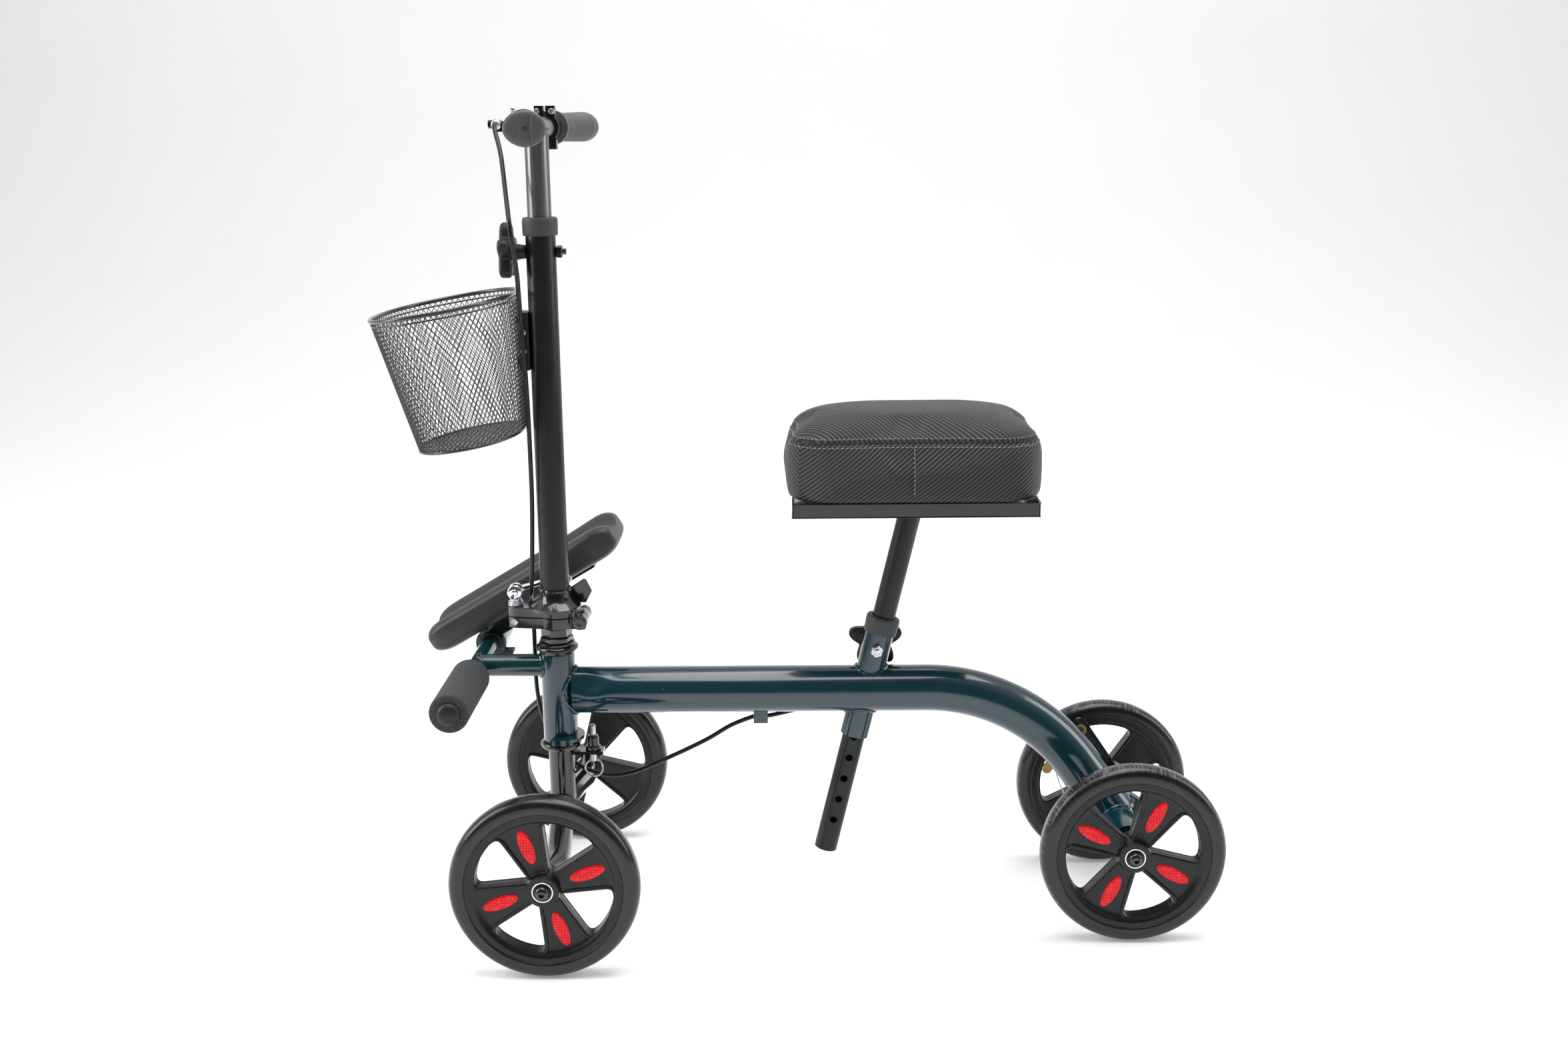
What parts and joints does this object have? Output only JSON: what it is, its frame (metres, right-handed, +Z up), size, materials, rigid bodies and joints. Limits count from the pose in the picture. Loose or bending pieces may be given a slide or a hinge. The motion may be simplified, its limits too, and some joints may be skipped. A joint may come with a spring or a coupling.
{
  "type": "knee scooter",
  "caption": "Steerable four-wheel knee scooter with a padded knee seat, side leg rest, folding handlebar column, wire basket and a cable-operated rear brake.",
  "frame": {"origin": "bottom centre of the bounding box: the ground, midway along and across the scooter", "axes": "+Z up, -X the way the scooter travels, -Y the rider's left side, where the foam roller is"},
  "size_m": [0.9128, 0.4362, 0.891],
  "materials": {
    "teal_paint": "gloss",
    "black_paint": "gloss",
    "basket_wire": "satin",
    "dark_steel": "satin",
    "satin_steel": "satin",
    "chrome": "polished",
    "zinc": "zinc plated",
    "yellow_zinc": "yellow zinc plated",
    "black_plastic": "satin",
    "wheel_plastic": "gloss",
    "tyre_rubber": "gloss",
    "grip_rubber": "satin",
    "roller_foam": "matt foam",
    "cushion_vinyl": "embossed weave",
    "pad_skin": "smooth moulded skin",
    "cable_sleeve": "satin"
  },
  "bodies": {
    "frame": {"main_frame": "teal_paint", "upper_headset_cup": "black_paint", "lower_headset_cup": "black_paint", "foam_roller": "roller_foam", "foam_roller_plug": "black_plastic", "leg_rest_bush": "pad_skin", "seat_collar": "black_plastic", "seat_nut": "zinc", "cable_clip": "teal_paint", "brake_backplate": "black_paint", "rear_axle_bolt_near": "black_paint", "rear_axle_bolt_far": "black_paint", "brake_cable_rear": "cable_sleeve"},
    "fork": {"fork": "black_paint", "headset_nuts": "black_paint", "clamp_base": "black_paint", "clamp_pin": "zinc", "hinge_bolt": "black_paint", "steering_lock_housing": "black_paint", "front_axle_bolt_near": "black_paint", "front_axle_bolt_far": "black_paint", "brake_cable_lower": "cable_sleeve"},
    "steering_lock": {"steering_lock_pin": "zinc"},
    "column": {"column_tube": "black_paint", "clamp_top": "black_paint", "clamp_eyebolt": "zinc", "column_collar": "black_plastic", "height_nut": "zinc", "basket_bracket": "black_plastic", "brake_cable_column": "cable_sleeve"},
    "clamp_lever": {"clamp_lever": "chrome"},
    "height_knob": {"height_knob": "black_plastic"},
    "basket": {"basket": "basket_wire"},
    "handlebar": {"handlebar": "satin_steel", "near_grip": "grip_rubber", "far_grip": "grip_rubber", "brake_perch": "black_plastic", "brake_cable_upper": "cable_sleeve"},
    "brake_lever": {"brake_lever": "black_paint"},
    "parking_lock": {"parking_lock_pin": "zinc"},
    "seat": {"seat_post": "dark_steel", "seat_tray": "black_paint", "knee_cushion": "cushion_vinyl"},
    "seat_knob": {"seat_knob": "black_plastic"},
    "leg_rest": {"leg_rest_pad": "pad_skin", "leg_rest_bracket": "black_paint"},
    "brake_arm": {"brake_arm": "yellow_zinc"},
    "wheel_front_near": {"rim_front_near": "wheel_plastic", "tyre_front_near": "tyre_rubber"},
    "wheel_front_far": {"rim_front_far": "wheel_plastic", "tyre_front_far": "tyre_rubber"},
    "wheel_rear_near": {"rim_rear_near": "wheel_plastic", "tyre_rear_near": "tyre_rubber"},
    "wheel_rear_far": {"rim_rear_far": "wheel_plastic", "tyre_rear_far": "tyre_rubber", "brake_drum": "zinc"}
  },
  "joints": [
    {"name": "steering", "type": "hinge", "parent": "frame", "child": "fork", "pos_m": [-0.2716, 0, 0.25], "axis": [0, 0, 1], "range_deg": [-45, 45], "deforming": ["brake_cable_lower"]},
    {"name": "column_fold", "type": "hinge", "parent": "fork", "child": "column", "pos_m": [-0.2426, 0, 0.337], "axis": [0, 1, 0], "range_deg": [0, 36], "deforming": ["brake_cable_column", "brake_cable_lower"]},
    {"name": "clamp_cam", "type": "hinge", "parent": "column", "child": "clamp_lever", "pos_m": [-0.3156, 0, 0.368], "axis": [0, -1, 0], "range_deg": [0, 90]},
    {"name": "handlebar_height", "type": "slide", "parent": "column", "child": "handlebar", "axis": [0, 0, 1], "range_m": [-0.0508, 0.1016], "deforming": ["brake_cable_upper", "brake_cable_column"]},
    {"name": "height_knob_turn", "type": "hinge", "parent": "column", "child": "height_knob", "pos_m": [-0.3016, 0, 0.74], "axis": [1, 0, 0], "continuous": true},
    {"name": "basket_release", "type": "slide", "parent": "column", "child": "basket", "axis": [-1, 0, 0], "range_m": [0, 0.1]},
    {"name": "brake_squeeze", "type": "hinge", "parent": "handlebar", "child": "brake_lever", "pos_m": [-0.3076, 0.088, 0.868], "axis": [0, 0, -1], "range_deg": [0, 18], "stiffness_Nm_per_rad": 1.5, "springref_deg": -5.73},
    {"name": "parking_lock_press", "type": "slide", "parent": "handlebar", "child": "parking_lock", "axis": [0, 0, 1], "range_m": [-0.0025, 0], "stiffness_N_per_m": 200, "springref_m": 0.003},
    {"name": "steering_lock_pull", "type": "slide", "parent": "fork", "child": "steering_lock", "axis": [0, 0, 1], "range_m": [-0.006, 0], "stiffness_N_per_m": 300, "springref_m": 0.004},
    {"name": "seat_height", "type": "slide", "parent": "frame", "child": "seat", "axis": [0.2341, 0, 0.9722], "range_m": [-0.0508, 0.0508]},
    {"name": "seat_knob_turn", "type": "hinge", "parent": "frame", "child": "seat_knob", "pos_m": [0.084, 0.02, 0.30116], "axis": [0, 1, 0], "continuous": true},
    {"name": "leg_rest_tilt", "type": "hinge", "parent": "frame", "child": "leg_rest", "pos_m": [-0.3616, 0.11, 0.282], "axis": [0, -1, 0], "range_deg": [-30, 45]},
    {"name": "front_near_spin", "type": "hinge", "parent": "fork", "child": "wheel_front_near", "pos_m": [-0.2676, -0.182, 0.1], "axis": [0, 1, 0], "continuous": true},
    {"name": "front_far_spin", "type": "hinge", "parent": "fork", "child": "wheel_front_far", "pos_m": [-0.2676, 0.182, 0.1], "axis": [0, 1, 0], "continuous": true},
    {"name": "rear_near_spin", "type": "hinge", "parent": "frame", "child": "wheel_rear_near", "pos_m": [0.3564, -0.105, 0.1], "axis": [0, 1, 0], "continuous": true},
    {"name": "rear_far_spin", "type": "hinge", "parent": "frame", "child": "wheel_rear_far", "pos_m": [0.3564, 0.105, 0.1], "axis": [0, 1, 0], "continuous": true},
    {"name": "brake_arm_swing", "type": "hinge", "parent": "frame", "child": "brake_arm", "pos_m": [0.3264, 0.0763, 0.174], "axis": [0, 1, 0], "range_deg": [0, 11], "deforming": ["brake_cable_rear"]}
  ],
  "couplings": [
    {"joint": "brake_arm_swing", "follows": "brake_squeeze", "ratio": 0.6}
  ]
}
